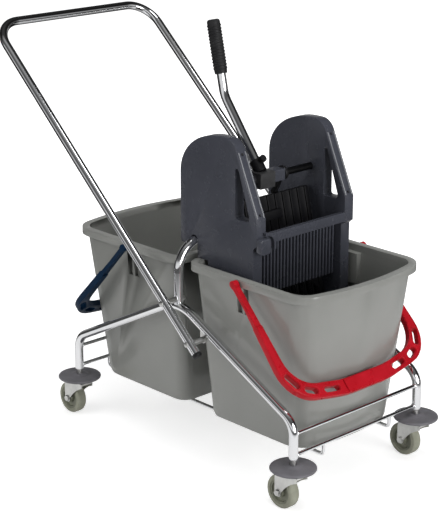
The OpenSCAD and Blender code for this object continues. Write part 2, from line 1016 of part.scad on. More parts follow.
// Rounded catch block beside the housing
module catch_block() {
    color(slate)
        placed()
            translate([bar_front, catch_y - block_side, catch_z])
                rotate([90, 0, 90])
                    linear_extrude(block_t)
                        polygon(rounded([
                            [-block_w / 2, -block_h / 2, block_round],
                            [block_w / 2, -block_h / 2, block_round],
                            [block_w / 2, block_h / 2, block_round],
                            [-block_w / 2, block_h / 2, block_round]
                        ], 5));
}

grate_t = 10;
grate_bar_t = 4;
grate_bar_h = 14;
grate_inset = 18;
grate_drop = 123;
grate_x = cheek_front - grate_inset - grate_t;
grate_z = bar_bottom_z - grate_drop;
slat_drop = 12;
slat_top_z = bar_top_z - slat_drop;
slat_pitch = throat_w / slat_count;

function slat_y(i) = -cheek_in + (i + 0.5) * slat_pitch - slat_w / 2;

// Upright slats on three level bars, set back behind the crossbar
module front_grate() {
    color(slate)
        placed()
            union() {
                for (i = [0:slat_count - 1])
                    translate([grate_x, slat_y(i), grate_z])
                        cube([grate_t, slat_w, slat_top_z - grate_z]);
                for (z = [grate_z, (grate_z + slat_top_z - grate_bar_h) / 2, slat_top_z - grate_bar_h])
                    translate([grate_x, -cheek_in, z])
                        cube([grate_bar_t, throat_w, grate_bar_h]);
            }
}

back_t = 4;
back_top_z = 500;

module wringer_back() {
    color(slate)
        placed()
            translate([foot_rear, -cheek_in, wringer_bottom])
                cube([back_t, throat_w, back_top_z - wringer_bottom]);
}

// Moving jaw: drawn upright on its pivot, then leaned back

jaw_gap = 5;
jaw_half = cheek_in - jaw_gap;
jaw_boss_r = jaw_rod_r + 5;
rib_count = 10;
rib_w = 5;
rib_h = 4;
rib_pitch = 2 * jaw_half / rib_count;

function rib_y(i) = -jaw_half + (i + 0.5) * rib_pitch - rib_w / 2;

ledge_z = 196;
ledge_h = 20;
ledge_t = 9;
ledge_end = 20;

module jaw_plate() {
    color(black)
        placed()
            translate([jaw_pivot_x, 0, jaw_pivot_z])
                rotate([0, -jaw_lean, 0])
                    difference() {
                        union() {
                            translate([-jaw_t / 2, -jaw_half, 0])
                                cube([jaw_t, 2 * jaw_half, jaw_h]);
                            across(0, 0, -jaw_half, jaw_half, jaw_boss_r);
                            for (i = [0:rib_count - 1])
                                translate([jaw_t / 2 - 1, rib_y(i), jaw_boss_r])
                                    cube([rib_h + 1, rib_w, jaw_h - jaw_boss_r]);
                            translate([jaw_t / 2 - 1, -jaw_half, ledge_z])
                                cube([ledge_t + 1, jaw_half + ledge_end, ledge_h]);
                        }
                        across(0, 0, -big, big, jaw_rod_r + run_clear);
                    }
}

rod_end_gap = 0.5;

module jaw_pivot_rod() {
    reach = cheek_in + seat_depth - rod_end_gap;
    color(zinc)
        placed()
            across(jaw_pivot_x, jaw_pivot_z, -reach, reach, jaw_rod_r);
}

// Lever: a shaft in the cheeks carries the hub, a square sleeve and two push cranks

module lever_shaft() {
    reach = cheek_in + seat_depth - rod_end_gap;
    color(zinc)
        placed()
            across(shaft_x, shaft_z, -reach, reach, shaft_r);
}

lever_y = -lever_side;
lever_foot_back = 4.5;
lever_foot_rise = 26;
lever_path = [
    [shaft_x - lever_foot_back, lever_y, shaft_z + lever_foot_rise],
    [-lever_bend_back, lever_y, lever_bend_z],
    [-lever_top_back, lever_y, lever_top_z]
];
lever_bend_r = 70;
lever_up = heading(lever_path, 0);
lever_r = lever_d / 2;
collar_wall = 4;
collar_r = lever_r + collar_wall;
collar_sunk = 14;
collar_len = 14;
collar_foot = lever_path[0] - collar_sunk * lever_up;
collar_top = lever_path[0] + collar_len * lever_up;
collar_floor = 3;
hub_l = 44;
hub_w = 44;
hub_h = 34;
hub_shift = 4;

// Hub block, bored for the shaft and for the lever's collar
module lever_hub() {
    color(zinc)
        placed()
            difference() {
                translate([shaft_x + hub_shift - hub_l / 2, lever_y - hub_w / 2, shaft_z - hub_h / 2])
                    cube([hub_l, hub_w, hub_h]);
                across(shaft_x, shaft_z, -big, big, shaft_r);
                rod(collar_foot, collar_top, collar_r);
            }
}

sleeve_s = 26;
sleeve_left = 30;

module shaft_sleeve() {
    color(zinc)
        placed()
            difference() {
                translate([shaft_x - sleeve_s / 2, lever_y + hub_w / 2, shaft_z - sleeve_s / 2])
                    cube([sleeve_s, sleeve_left - lever_y - hub_w / 2, sleeve_s]);
                across(shaft_x, shaft_z, -big, big, shaft_r);
            }
}

crank_t = 8;
crank_tip_r = 8;
crank_half = 6;
jaw_back = shaft_ahead + jaw_t / 2;

// A crank stands off the jaw's back with its tip, and off the jaw's upper edge with its arm
tip_angle = asin((jaw_back + crank_clear + crank_tip_r) / crank_len);
arm_angle = atan2(jaw_back, shaft_up) + asin((crank_half + crank_clear) / norm([jaw_back, shaft_up]));
crank_angle = max(tip_angle, arm_angle) - jaw_lean;
crank_eye = 8;

// Crank from y towards +Y, with its tip behind the jaw's upper edge
module crank(y) {
    translate([shaft_x, y, shaft_z])
        rotate([0, crank_angle, 0])
            difference() {
                union() {
                    across(0, 0, 0, crank_t, shaft_r + crank_eye);
                    across(0, -crank_len, 0, crank_t, crank_tip_r);
                    translate([-crank_half, 0, -crank_len])
                        cube([2 * crank_half, crank_t, crank_len]);
                }
                across(0, 0, -1, crank_t + 1, shaft_r);
            }
}

module push_cranks() {
    color(zinc)
        placed() {
            crank(sleeve_left);
            crank(lever_y - hub_w / 2 - crank_t);
        }
}

grip_top = 3;

// The lever's path from the collar's floor to just below the grip's top
lever_core = [
    collar_foot + collar_floor * lever_up,
    lever_path[1],
    lever_path[2] - grip_top * heading(lever_path, 1)
];

module lever_tube() {
    color(chrome)
        placed()
            difference() {
                bent_rod(lever_core, lever_bend_r, lever_r);
                bent_rod(longer(lever_core, 1), lever_bend_r, lever_r - tube_wall);
            }
}

// Black collar that seats the lever in the hub
module lever_collar() {
    color(black)
        placed()
            difference() {
                rod(collar_foot, collar_top, collar_r);
                rod(lever_core[0], collar_top + lever_up, lever_r + join_step);
                screw_hole();
            }
}

screw_r = 3;
screw_out = 12;
knob_r = 8;
knob_t = 9;
screw_axis = unit(cross([0, 1, 0], lever_up));
screw_from = lever_path[0] + collar_len / 2 * lever_up + (lever_r + 2 * join_step) * screw_axis;

module screw_hole() {
    rod(screw_from - screw_axis, screw_from + big * screw_axis, screw_r);
}

// Clamp screw with a round knob, through the front of the collar
module lever_screw() {
    color(black)
        placed()
            union() {
                rod(screw_from, screw_from + (collar_wall + screw_out) * screw_axis, screw_r);
                rod(screw_from + (collar_wall + screw_out - knob_t) * screw_axis,
                    screw_from + (collar_wall + screw_out) * screw_axis, knob_r);
            }
}

grip_root = 2;
grip_groove = 1.2;
grip_round = 6;
ribbed = 0.84;
rib_len = grip_len * ribbed / grip_ribs;

// Ribbed grip, closed at its top
module lever_grip() {
    r = grip_d / 2;
    color(black)
        placed()
            difference() {
                translate(lever_path[2])
                    multmatrix(facing(heading(lever_path, 1)))
                        rotate_extrude()
                            polygon(concat(
                                [[0, -grip_len], [r - grip_root, -grip_len]],
                                [
                                    for (i = [0:grip_ribs - 1], k = [0:3])
                                        [
                                            k == 1 || k == 2 ? r : r - grip_groove,
                                            -grip_len * (1 + ribbed) / 2 + rib_len * (i + k / 4)
                                        ]
                                ],
                                arc([r - grip_groove - grip_round, -grip_round], grip_round, 0, 90, 6),
                                [[0, 0]]
                            ));
                bent_rod(lever_core, lever_bend_r, lever_r);
            }
}

// Castors: the disc and the stem stay with the frame, the fork swivels and the wheel rolls

wheel_r = wheel_d / 2;
stem_r = stem_d / 2;
axle_r = axle_d / 2;
fork_gap = wheel_w + 5;
fork_half = fork_gap / 2 + fork_t;
crown_t = 4;
disc_low_z = buffer_top_z - buffer_h;
crown_z_top = disc_low_z - 9;

module at_castor(end, side) {
    placed()
        translate([post_x(end), side * rail_y, 0])
            children();
}

module at_wheel(end, side) {
    at_castor(end, side)
        translate([-trail, 0, wheel_r])
            rotate([90, 0, 0])
                children();
}

disc_boss_r = 17;
disc_crown = 3;
disc_round = 3.5;

module buffer(end, side) {
    color(buffer_grey)
        at_castor(end, side)
            rotate_extrude()
                polygon(concat(
                    [
                        [stem_r + run_clear, crown_z_top + seat_clear],
                        [disc_boss_r, crown_z_top + seat_clear],
                        [disc_boss_r + 1, disc_low_z]
                    ],
                    arc([buffer_d / 2 - disc_round, disc_low_z + disc_round], disc_round, -90, 75, 8),
                    [
                        [disc_boss_r + 4, buffer_top_z],
                        [disc_boss_r - 4, buffer_top_z + disc_crown],
                        [stem_r + run_clear, buffer_top_z + disc_crown]
                    ]
                ));
}

plug_l = 30;
head_h = 4;
head_r = stem_r + 3;
head_z = crown_z_top - crown_t - seat_clear;

// Stem: a plug in the post, a bare neck, and a head under the fork's crown
module stem(end, side) {
    color(zinc)
        at_castor(end, side)
            rotate_extrude()
                polygon([
                    [0, head_z - head_h],
                    [head_r, head_z - head_h],
                    [head_r, head_z],
                    [stem_r, head_z],
                    [stem_r, post_bottom_z],
                    [bore_r - run_clear, post_bottom_z],
                    [bore_r - run_clear, post_bottom_z + plug_l],
                    [0, post_bottom_z + plug_l]
                ]);
}

crown_front = 26;
crown_rear = 26;
crown_lip = 10;
ear_r = 9;
ear_back = 12;

// Side of the fork in X and Z: a straight back edge and a front edge swept up to the crown
fork_side = concat(
    [[-trail - ear_r, crown_z_top - ear_back], [-trail - ear_r, wheel_r]],
    arc([-trail, wheel_r], ear_r, 180, 330, 10),
    curve([-trail + ear_r, wheel_r + 2], [-trail + 3 * ear_r, crown_z_top - 2 * crown_lip],
          [crown_front, crown_z_top - crown_lip], 8),
    [[crown_front, crown_z_top], [-crown_rear, crown_z_top]]
);

module fork(end, side) {
    color(zinc)
        at_castor(end, side)
            difference() {
                upright(-fork_half, fork_half)
                    polygon(fork_side);
                translate([-big / 2, -fork_gap / 2, crown_z_top - crown_t - big])
                    cube([big, fork_gap, big]);
                cylinder(h = big, r = stem_r + run_clear);
                across(-trail, wheel_r, -big, big, axle_r + run_clear);
            }
}

hub_half = fork_gap / 2 - 0.5;
boss_r = axle_r + 7;
web_half = wheel_w / 2 - 5;
ring_half = wheel_w / 2 - 1;
ring_w = 4;

// Wheel centre, running on the axle
module hub(end, side) {
    color(black)
        at_wheel(end, side)
            rotate_extrude()
                polygon([
                    [axle_r + run_clear, -hub_half],
                    [boss_r, -hub_half],
                    [boss_r + 2, -web_half],
                    [centre_d / 2 - ring_w - 2, -web_half],
                    [centre_d / 2 - ring_w, -ring_half],
                    [centre_d / 2, -ring_half],
                    [centre_d / 2, ring_half],
                    [centre_d / 2 - ring_w, ring_half],
                    [centre_d / 2 - ring_w - 2, web_half],
                    [boss_r + 2, web_half],
                    [boss_r, hub_half],
                    [axle_r + run_clear, hub_half]
                ]);
}

tread_round = 5;

module tyre(end, side) {
    color(tyre_grey)
        at_wheel(end, side)
            rotate_extrude()
                polygon(concat(
                    [[centre_d / 2, wheel_w / 2], [centre_d / 2, -wheel_w / 2]],
                    arc([wheel_r - tread_round, tread_round - wheel_w / 2], tread_round, -90, 0, 6),
                    arc([wheel_r - tread_round, wheel_w / 2 - tread_round], tread_round, 0, 90, 6)
                ));
}

axle_head_h = 4;
axle_head_r = axle_r + 3;
axle_head_gap = 0.2;

// Axle bolt with a hexagon on each end
module axle(end, side) {
    color(zinc)
        at_wheel(end, side)
            union() {
                cylinder(h = 2 * (fork_half + axle_head_gap) + axle_head_h, r = axle_r, center = true);
                for (e = [-1, 1])
                    translate([0, 0, e * (fork_half + axle_head_gap + axle_head_h / 2)])
                        cylinder(h = axle_head_h, r = axle_head_r, center = true, $fn = 6);
            }
}

module buffer_front_right() {
    buffer(1, -1);
}

module buffer_front_left() {
    buffer(1, 1);
}

module buffer_rear_right() {
    buffer(-1, -1);
}

module buffer_rear_left() {
    buffer(-1, 1);
}

module stem_front_right() {
    stem(1, -1);
}

module stem_front_left() {
    stem(1, 1);
}

module stem_rear_right() {
    stem(-1, -1);
}

module stem_rear_left() {
    stem(-1, 1);
}

module fork_front_right() {
    fork(1, -1);
}

module fork_front_left() {
    fork(1, 1);
}

module fork_rear_right() {
    fork(-1, -1);
}

module fork_rear_left() {
    fork(-1, 1);
}

module hub_front_right() {
    hub(1, -1);
}

module hub_front_left() {
    hub(1, 1);
}

module hub_rear_right() {
    hub(-1, -1);
}

module hub_rear_left() {
    hub(-1, 1);
}

module tyre_front_right() {
    tyre(1, -1);
}

module tyre_front_left() {
    tyre(1, 1);
}

module tyre_rear_right() {
    tyre(-1, -1);
}

module tyre_rear_left() {
    tyre(-1, 1);
}

module axle_front_right() {
    axle(1, -1);
}

module axle_front_left() {
    axle(1, 1);
}

module axle_rear_right() {
    axle(-1, -1);
}

module axle_rear_left() {
    axle(-1, 1);
}

side_rail_right();
side_rail_left();
arch_tube();
push_handle();
front_upper_rod();
front_lower_rod();
rear_upper_rod();
rear_lower_rod();
support_wire_right();
support_wire_left();
handle_end_caps();
handle_brackets();
handle_spacers();
handle_bolts();
handle_nuts();
front_bucket();
rear_bucket();
front_bail();
rear_bail();
cheek_right();
cheek_left();
wringer_crossbar();
front_grate();
wringer_back();
catch_block();
jaw_plate();
jaw_pivot_rod();
lever_shaft();
lever_hub();
shaft_sleeve();
push_cranks();
lever_tube();
lever_collar();
lever_grip();
lever_screw();
buffer_front_right();
buffer_front_left();
buffer_rear_right();
buffer_rear_left();
stem_front_right();
stem_front_left();
stem_rear_right();
stem_rear_left();
fork_front_right();
fork_front_left();
fork_rear_right();
fork_rear_left();
hub_front_right();
hub_front_left();
hub_rear_right();
hub_rear_left();
tyre_front_right();
tyre_front_left();
tyre_rear_right();
tyre_rear_left();
axle_front_right();
axle_front_left();
axle_rear_right();
axle_rear_left();
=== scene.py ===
from math import atan2, cos, pi, radians, sin

import bpy
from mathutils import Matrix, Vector


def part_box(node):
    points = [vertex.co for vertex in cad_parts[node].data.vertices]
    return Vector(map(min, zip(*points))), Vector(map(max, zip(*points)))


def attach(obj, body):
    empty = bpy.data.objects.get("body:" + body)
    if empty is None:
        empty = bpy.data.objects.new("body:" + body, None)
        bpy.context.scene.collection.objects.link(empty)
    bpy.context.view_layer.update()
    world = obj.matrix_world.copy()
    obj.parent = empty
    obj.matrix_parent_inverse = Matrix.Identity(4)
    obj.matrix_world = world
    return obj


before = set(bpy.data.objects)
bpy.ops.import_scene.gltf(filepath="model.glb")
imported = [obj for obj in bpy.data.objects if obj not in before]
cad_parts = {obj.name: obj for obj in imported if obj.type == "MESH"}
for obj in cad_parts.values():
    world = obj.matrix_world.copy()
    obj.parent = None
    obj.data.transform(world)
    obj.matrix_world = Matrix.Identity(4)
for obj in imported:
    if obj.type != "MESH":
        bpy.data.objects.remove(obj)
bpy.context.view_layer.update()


# Side rails, arch, push handle, cross rods and support wires: bent steel tube and wire, welded
# together and chromed bright all over. The plating is smooth, with faint waves along the bends
# and a slight haze where hands and buckets have rubbed it. A rippled weld bead rings each rod's end.
frame_tubes = [
    "side_rail_right", "side_rail_left", "arch_tube", "push_handle",
    "front_upper_rod", "front_lower_rod", "rear_upper_rod", "rear_lower_rod",
    "support_wire_right", "support_wire_left",
]
same_place = 0.00001
level_turn = radians(0.4)
smooth_turn = radians(38)


def link(material, start, out, end, into):
    """Joins one node's output to another's input."""
    material.node_tree.links.new(start.outputs[out], end.inputs[into])


def add(material, kind, **settings):
    """A new shader node, with its settings and the values of its sockets by name."""
    made = material.node_tree.nodes.new(kind)
    for name, value in settings.items():
        if hasattr(made, name):
            setattr(made, name, value)
        else:
            made.inputs[name].default_value = value
    return made


def spread(material, start, out, given, wanted):
    """A value carried from one range to another and held at its ends."""
    made = add(material, "ShaderNodeMapRange")
    for socket, value in zip(("From Min", "From Max", "To Min", "To Max"), (*given, *wanted)):
        made.inputs[socket].default_value = value
    link(material, start, out, made, "Value")
    return made


def noise_of(material, point, scale, detail):
    """Noise of one scale that keeps its place on the object."""
    made = add(material, "ShaderNodeTexNoise", Scale=scale, Detail=detail)
    link(material, point, "Object", made, "Vector")
    return made


def finish_of(name, colours, rough, cloud_scale, grain_scale, grain,
              metallic=0.0, haze_scale=40.0, gloss=0.5):
    """Colour in soft clouds, roughness in finer ones, and a fine grain in the surface."""
    material = bpy.data.materials.new(name)
    material.use_nodes = True
    shader = material.node_tree.nodes["Principled BSDF"]
    shader.inputs["Metallic"].default_value = metallic
    shader.inputs["Specular IOR Level"].default_value = gloss
    point = add(material, "ShaderNodeTexCoord")
    clouds = noise_of(material, point, cloud_scale, 4.0)
    tint = add(material, "ShaderNodeValToRGB")
    for stop, share, colour in zip(tint.color_ramp.elements, (0.32, 0.68), colours):
        stop.position = share
        stop.color = (*colour, 1)
    link(material, clouds, "Fac", tint, "Fac")
    link(material, tint, "Color", shader, "Base Color")
    haze = noise_of(material, point, haze_scale, 5.0)
    dulled = spread(material, haze, "Fac", (0.3, 0.7), rough)
    link(material, dulled, "Result", shader, "Roughness")
    skin = noise_of(material, point, grain_scale, 2.0)
    bump = add(material, "ShaderNodeBump", Strength=grain, Distance=0.0004)
    link(material, skin, "Fac", bump, "Height")
    link(material, bump, "Normal", shader, "Normal")
    return material


def dress(names, material, edge=0.0, crease=32):
    """Puts a finish on CAD nodes, rounds their edges by edge metres and shades their curves smooth."""
    for name in names:
        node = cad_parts[name]
        node.data.materials.clear()
        node.data.materials.append(material)
        for face in node.data.polygons:
            face.use_smooth = True
        weld = node.modifiers.new("weld", "WELD")
        weld.merge_threshold = same_place
        if edge:
            plain = node.modifiers.new("plain", "DECIMATE")
            plain.decimate_type = "DISSOLVE"
            plain.angle_limit = level_turn
            round_over = node.modifiers.new("edge", "BEVEL")
            round_over.width = edge
            round_over.segments = 3
            round_over.limit_method = "ANGLE"
            round_over.angle_limit = radians(crease)
            round_over.harden_normals = True
        else:
            crisp = node.modifiers.new("crisp", "EDGE_SPLIT")
            crisp.split_angle = radians(crease)


chrome = finish_of(
    "bright_chrome", [(0.74, 0.75, 0.77), (0.82, 0.82, 0.83)], (0.05, 0.13), 6.0, 60.0, 0.012,
    metallic=1.0, haze_scale=14.0)
dress(frame_tubes, chrome)

bead_r, bead_t, bead_steps = 0.0044, 0.0017, 28
bead_inset, bead_swell = 0.0004, (1.06, 1.06, 1.25)


def choose(piece, wanted):
    """Selects the vertices of a piece that wanted(place) picks, ready for an edit."""
    bpy.ops.object.mode_set(mode="EDIT")
    bpy.ops.mesh.select_mode(type="VERT")
    bpy.ops.mesh.select_all(action="DESELECT")
    bpy.ops.object.mode_set(mode="OBJECT")
    for point in piece.data.vertices:
        point.select = wanted(point.co)
    bpy.ops.object.mode_set(mode="EDIT")


def set_down(piece, name, material, body):
    """Puts a new piece's place into its mesh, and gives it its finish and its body."""
    bpy.ops.object.select_all(action="DESELECT")
    piece.select_set(True)
    bpy.context.view_layer.objects.active = piece
    bpy.ops.object.transform_apply(location=True, rotation=True, scale=True)
    piece.name = name
    piece.data.materials.clear()
    piece.data.materials.append(material)
    bpy.ops.object.shade_smooth_by_angle(angle=smooth_turn)
    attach(piece, body)


def twin_of(piece, move):
    """A copy of a piece with a mesh of its own, moved by a vector."""
    twin = piece.copy()
    twin.data = piece.data.copy()
    bpy.context.scene.collection.objects.link(twin)
    twin.location = piece.location + Vector(move)
    return twin


bpy.ops.object.select_all(action="DESELECT")
bpy.ops.mesh.primitive_torus_add(
    major_segments=bead_steps, minor_segments=10, major_radius=bead_r, minor_radius=bead_t)
bead = bpy.context.object
choose(bead, lambda p: round(atan2(p.y, p.x) / (2 * pi) * bead_steps) % 3 == 0)
bpy.ops.transform.resize(value=bead_swell)
bpy.ops.mesh.select_all(action="SELECT")
bpy.ops.transform.rotate(value=radians(90), orient_axis="X", center_override=(0, 0, 0))
bpy.ops.object.mode_set(mode="OBJECT")
for rod in ("front_upper_rod", "front_lower_rod", "rear_upper_rod", "rear_lower_rod"):
    low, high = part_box(rod)
    for side, end in (("right", low[1] + bead_inset), ("left", high[1] - bead_inset)):
        spot = ((low[0] + high[0]) / 2, end, (low[2] + high[2]) / 2)
        set_down(twin_of(bead, spot), "weld_%s_%s" % (rod, side), chrome, "frame")
bpy.data.objects.remove(bead)


# Handle fastening: domed bolts, nuts, spacers and rail plates in zinc plated steel, and black
# plugs that close the handle's lower ends. Zinc is greyer and duller than the chrome.
zinc = finish_of(
    "dull_zinc", [(0.52, 0.52, 0.51), (0.68, 0.68, 0.66)], (0.26, 0.42), 35.0, 500.0, 0.10,
    metallic=1.0, haze_scale=90.0)
black = finish_of(
    "black_plastic", [(0.006, 0.006, 0.007), (0.012, 0.012, 0.013)], (0.36, 0.52), 25.0, 900.0, 0.10,
    gloss=0.3)
dress(["handle_brackets", "handle_spacers", "handle_bolts", "handle_nuts"], zinc)
dress(["handle_end_caps"], black)


# Castors: a soft grey buffer disc on a zinc stem, a pressed zinc fork with its axle bolt, and a
# grey rubber tyre moulded on a darker plastic centre. A thin moulding ring runs round each side of
# a tyre.
corners = ["front_right", "front_left", "rear_right", "rear_left"]
tyre_ring_r, tyre_ring_t, tyre_ring_flat = 0.0290, 0.0011, 0.6
buffer_grey = finish_of(
    "buffer_grey", [(0.122, 0.120, 0.131), (0.162, 0.158, 0.173)], (0.40, 0.56), 30.0, 700.0, 0.15,
    gloss=0.35)
tyre_grey = finish_of(
    "tyre_grey", [(0.250, 0.254, 0.198), (0.320, 0.324, 0.258)], (0.55, 0.75), 45.0, 800.0, 0.25,
    gloss=0.3)
centre_grey = finish_of(
    "wheel_centre", [(0.150, 0.155, 0.115), (0.200, 0.206, 0.155)], (0.40, 0.58), 45.0, 800.0, 0.15)
for corner in corners:
    dress(["buffer_" + corner], buffer_grey)
    dress(["stem_" + corner, "fork_" + corner, "axle_" + corner], zinc)
    dress(["hub_" + corner], centre_grey)
    dress(["tyre_" + corner], tyre_grey)
    low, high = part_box("tyre_" + corner)
    middle = [(a + b) / 2 for a, b in zip(low, high)]
    for side, face in (("right", low[1]), ("left", high[1])):
        bpy.ops.object.select_all(action="DESELECT")
        bpy.ops.mesh.primitive_torus_add(
            major_segments=64, minor_segments=8, major_radius=tyre_ring_r, minor_radius=tyre_ring_t,
            rotation=(radians(90), 0, 0), location=(middle[0], face, middle[2]))
        ring = bpy.context.object
        choose(ring, lambda p: True)
        bpy.ops.transform.resize(
            value=(1, tyre_ring_flat, 1), center_override=(middle[0], face, middle[2]))
        bpy.ops.object.mode_set(mode="OBJECT")
        set_down(ring, "tyre_ring_%s_%s" % (corner, side), tyre_grey, "wheel_" + corner)


# Buckets: injection moulded in mid grey plastic with a fine matt grain. Bails: red in front and
# blue behind, semi-gloss, with rounded edges and a raised line along every edge of the band.
bucket_grey = finish_of(
    "bucket_grey", [(0.234, 0.238, 0.224), (0.264, 0.268, 0.253)], (0.17, 0.26), 5.0, 850.0, 0.03)
dress(["front_bucket", "rear_bucket"], bucket_grey, edge=0.0022)
bail_red = finish_of(
    "bail_red", [(0.40, 0.007, 0.014), (0.47, 0.010, 0.020)], (0.26, 0.36), 20.0, 700.0, 0.05,
    gloss=0.16)
bail_blue = finish_of(
    "bail_blue", [(0.001, 0.013, 0.036), (0.002, 0.018, 0.048)], (0.42, 0.55), 20.0, 700.0, 0.05,
    gloss=0.12)
dress(["front_bail"], bail_red, edge=0.0016)
dress(["rear_bail"], bail_blue, edge=0.0016)

line_inset, line_r, slot_edge = 0.0026, 0.0012, 0.15
facing, level_band, short_step = 0.99, 0.0003, 0.0004


def edge_line(node, outward):
    """A rounded line just inside the edges of a node's flat outer face and of the slots in it."""
    face_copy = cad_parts[node].copy()
    face_copy.data = face_copy.data.copy()
    face_copy.modifiers.clear()
    bpy.context.scene.collection.objects.link(face_copy)
    bpy.ops.object.select_all(action="DESELECT")
    face_copy.select_set(True)
    bpy.context.view_layer.objects.active = face_copy
    bpy.ops.object.mode_set(mode="EDIT")
    bpy.ops.mesh.select_all(action="SELECT")
    bpy.ops.mesh.remove_doubles(threshold=same_place)
    bpy.ops.object.mode_set(mode="OBJECT")
    places = [point.co.copy() for point in face_copy.data.vertices]
    flat = [f for f in face_copy.data.polygons if f.normal.dot(outward) > facing]
    outward = max(flat, key=lambda f: f.area).normal.copy()
    areas = {}
    for face in flat:
        height = round(face.center.dot(outward), 4)
        areas[height] = areas.get(height, 0.0) + face.area
    level = max(areas, key=areas.get)
    steps = set()
    for face in flat:
        if abs(face.center.dot(outward) - level) < level_band:
            corners_round = list(face.vertices)
            steps.update(zip(corners_round, corners_round[1:] + corners_round[:1]))
    edge = {a: b for a, b in steps if (b, a) not in steps}
    bpy.data.objects.remove(face_copy)
    rings = []
    while edge:
        ring = [min(edge)]
        while ring[-1] in edge:
            ring.append(edge.pop(ring[-1]))
        ring = [places[i] for i in ring[:-1]]
        rings.append([p for p, q in zip(ring, ring[1:] + ring[:1]) if (p - q).length > short_step])
    lengths = [sum((p - q).length for p, q in zip(r, r[1:] + r[:1])) for r in rings]
    wire = bpy.data.curves.new("edge_wire", "CURVE")
    wire.dimensions = "3D"
    wire.bevel_depth = line_r
    wire.bevel_resolution = 2
    for ring, length in zip(rings, lengths):
        if length == max(lengths) or length < slot_edge:
            spline = wire.splines.new("POLY")
            spline.points.add(len(ring) - 1)
            spline.use_cyclic_u = True
            for i, p in enumerate(ring):
                before = (p - ring[i - 1]).normalized()
                after = (ring[(i + 1) % len(ring)] - p).normalized()
                inward = (outward.cross(before) + outward.cross(after)).normalized()
                spline.points[i].co = (*(p + inward * line_inset), 1)
    line = bpy.data.objects.new("edge_line", wire)
    bpy.context.scene.collection.objects.link(line)
    bpy.ops.object.select_all(action="DESELECT")
    line.select_set(True)
    bpy.context.view_layer.objects.active = line
    bpy.ops.object.convert(target="MESH")
    bpy.ops.object.mode_set(mode="EDIT")
    bpy.ops.mesh.select_all(action="SELECT")
    bpy.ops.mesh.normals_make_consistent(inside=False)
    bpy.ops.object.mode_set(mode="OBJECT")
    return bpy.context.object


bail_tilt = radians(47.0)
front_line = edge_line("front_bail", Vector((sin(bail_tilt), 0, cos(bail_tilt))))
set_down(front_line, "front_bail_line", bail_red, "front_bail")
rear_line = edge_line("rear_bail", Vector((-sin(bail_tilt), 0, cos(bail_tilt))))
set_down(rear_line, "rear_bail_line", bail_blue, "rear_bail")


# Wringer: two hollow cheeks, a crossbar with a catch and a slatted front, moulded in slate grey
# plastic with a satin skin. A pair of ridges runs down each cheek's sloping front, with small
# sunk screws between them. The ridges are coloured pale, a painted highlight along the cheeks'
# front edges. The jaw between the cheeks is black.
slate = finish_of(
    "slate_plastic", [(0.049, 0.052, 0.065), (0.058, 0.061, 0.076)], (0.20, 0.30), 7.0, 600.0, 0.02,
    gloss=0.42)
dress(["cheek_right", "cheek_left"], slate, edge=0.0025)
dress(["wringer_crossbar", "catch_block"], slate, edge=0.0016)
dress(["front_grate", "wringer_back"], slate, edge=0.0008)
jaw_black = finish_of(
    "jaw_black", [(0.003, 0.003, 0.004), (0.006, 0.006, 0.007)], (0.42, 0.58), 20.0, 600.0, 0.05,
    gloss=0.18)
dress(["jaw_plate"], jaw_black, edge=0.0012)
dress(["jaw_pivot_rod"], zinc)

front_high = Vector((0.2302, 0.0, 0.7245))
front_low = Vector((0.2915, 0.0, 0.5860))
front_lean = -atan2(front_low.x - front_high.x, front_high.z - front_low.z)
ridge_end = 0.004
ridge_reach = (("inner", 0.1262), ("outer", 0.1448))
ridge_l = (front_high - front_low).length - 2 * ridge_end
ridge_w, ridge_t, ridge_round = 0.0026, 0.0036, 0.0009
# Painted highlight: the ridges' pale grey stands in for the bright glints along the cheeks' front edges.
ridge_painted_highlight = finish_of(
    "ridge_painted_highlight", [(0.20, 0.205, 0.22), (0.27, 0.275, 0.29)], (0.14, 0.22), 30.0, 600.0, 0.02)
screw_r, screw_t, screw_reach = 0.0027, 0.0022, 0.1355
screw_rim, screw_slope, screw_sink = 0.0006, 0.0009, 0.0007
screw_share = (("top", 0.06), ("low", 0.93))
for cheek, face_side in (("cheek_right", -1), ("cheek_left", 1)):
    for edge, reach in ridge_reach:
        middle = (front_high + front_low) / 2 + Vector((0.0, face_side * reach, 0.0))
        bpy.ops.object.select_all(action="DESELECT")
        bpy.ops.mesh.primitive_cube_add(size=1.0, location=middle, rotation=(0, front_lean, 0))
        ridge = bpy.context.object
        ridge.scale = (ridge_t, ridge_w, ridge_l)
        bpy.ops.object.transform_apply(location=False, rotation=False, scale=True)
        bpy.ops.object.mode_set(mode="EDIT")
        bpy.ops.mesh.select_all(action="SELECT")
        bpy.ops.mesh.bevel(offset=ridge_round, segments=3, affect="EDGES")
        bpy.ops.object.mode_set(mode="OBJECT")
        set_down(ridge, "%s_ridge_%s" % (cheek, edge), ridge_painted_highlight, "wringer")
    for place, share in screw_share:
        middle = front_high.lerp(front_low, share) + Vector((0.0, face_side * screw_reach, 0.0))
        bpy.ops.object.select_all(action="DESELECT")
        bpy.ops.mesh.primitive_cylinder_add(
            vertices=28, radius=screw_r, depth=screw_t, location=middle,
            rotation=(0, front_lean + radians(90), 0))
        screw = bpy.context.object
        choose(screw, lambda p: p.z > 0)
        bpy.ops.mesh.inset(thickness=screw_rim)
        bpy.ops.mesh.inset(thickness=screw_slope, depth=-screw_sink)
        bpy.ops.object.mode_set(mode="OBJECT")
        set_down(screw, "%s_screw_%s" % (cheek, place), black, "wringer")
